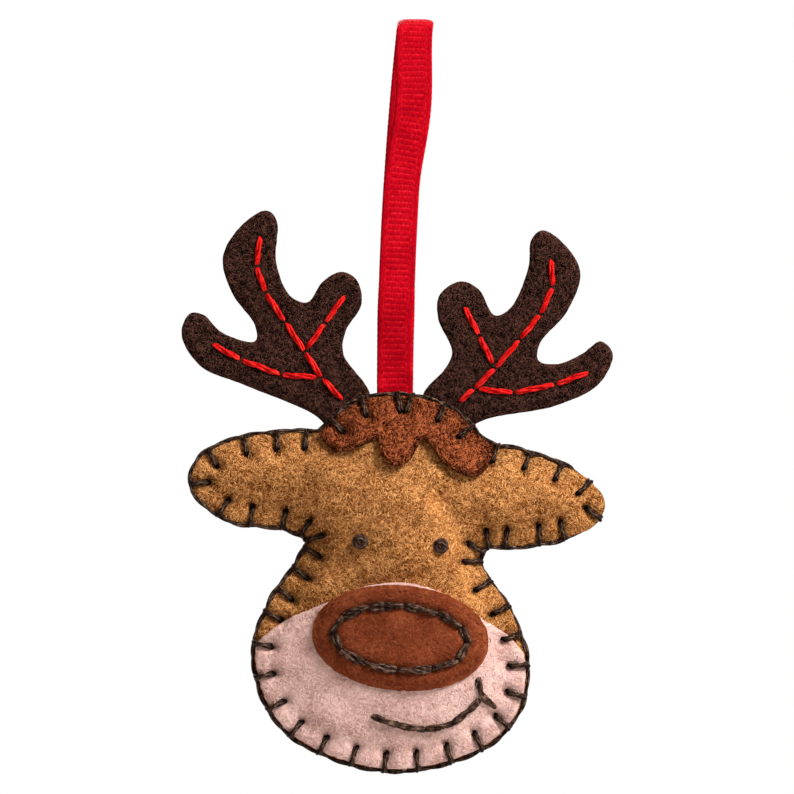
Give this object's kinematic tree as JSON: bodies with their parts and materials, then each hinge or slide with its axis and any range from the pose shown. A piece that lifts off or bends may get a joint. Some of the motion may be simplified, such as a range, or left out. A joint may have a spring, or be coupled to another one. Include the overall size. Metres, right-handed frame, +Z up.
{
  "type": "felt christmas ornament",
  "caption": "Stuffed felt reindeer-head ornament: swollen face sewn round its edge, flat antlers, felt forelock, muzzle and nose, and a ribbon loop that folds at the head to hang it.",
  "frame": {"origin": "the hanging point, inside the top of the ribbon loop, where a hook or twig carries the ornament", "axes": "+Z up along the hanging ribbon, +Y from the face to the back so the face looks along -Y, +X to the right of someone who looks at the face"},
  "size_m": [0.0719, 0.0143, 0.126],
  "materials": {
    "tan_felt": "matte fibrous felt, caramel tan",
    "russet_felt": "matte fibrous felt, russet brown",
    "pink_felt": "matte fibrous felt, pale pink",
    "brown_felt": "matte stiffened felt, very dark brown",
    "dark_thread": "twisted cotton thread, dark olive brown, slight sheen",
    "red_thread": "stranded cotton thread, bright red, slight sheen",
    "ribbon": "ribbed grosgrain, bright red, soft sheen",
    "filling": "white fibre filling, matte"
  },
  "bodies": {
    "hanger": {"ribbon_loop": "ribbon"},
    "ornament": {"ribbon_front_end": "ribbon", "ribbon_back_end": "ribbon", "head_front_felt": "tan_felt", "head_back_felt": "tan_felt", "fibre_filling": "filling", "hair_felt": "russet_felt", "muzzle_felt": "pink_felt", "nose_felt": "russet_felt", "left_antler_felt": "brown_felt", "right_antler_felt": "brown_felt", "edge_blanket_stitch": "dark_thread", "nose_ring_stitch": "dark_thread", "smile_stitch": "dark_thread", "smile_corner_stitch": "dark_thread", "left_eye_knot": "dark_thread", "right_eye_knot": "dark_thread", "left_antler_main_stitch": "red_thread", "left_antler_outer_stitch": "red_thread", "left_antler_inner_stitch": "red_thread", "right_antler_main_stitch": "red_thread", "right_antler_outer_stitch": "red_thread", "right_antler_inner_stitch": "red_thread"}
  },
  "joints": [
    {"name": "seam_fold", "type": "hinge", "parent": "hanger", "child": "ornament", "pos_m": [-0.0034, 0, -0.0593], "axis": [1, 0, 0], "range_deg": [-90, 90]}
  ]
}
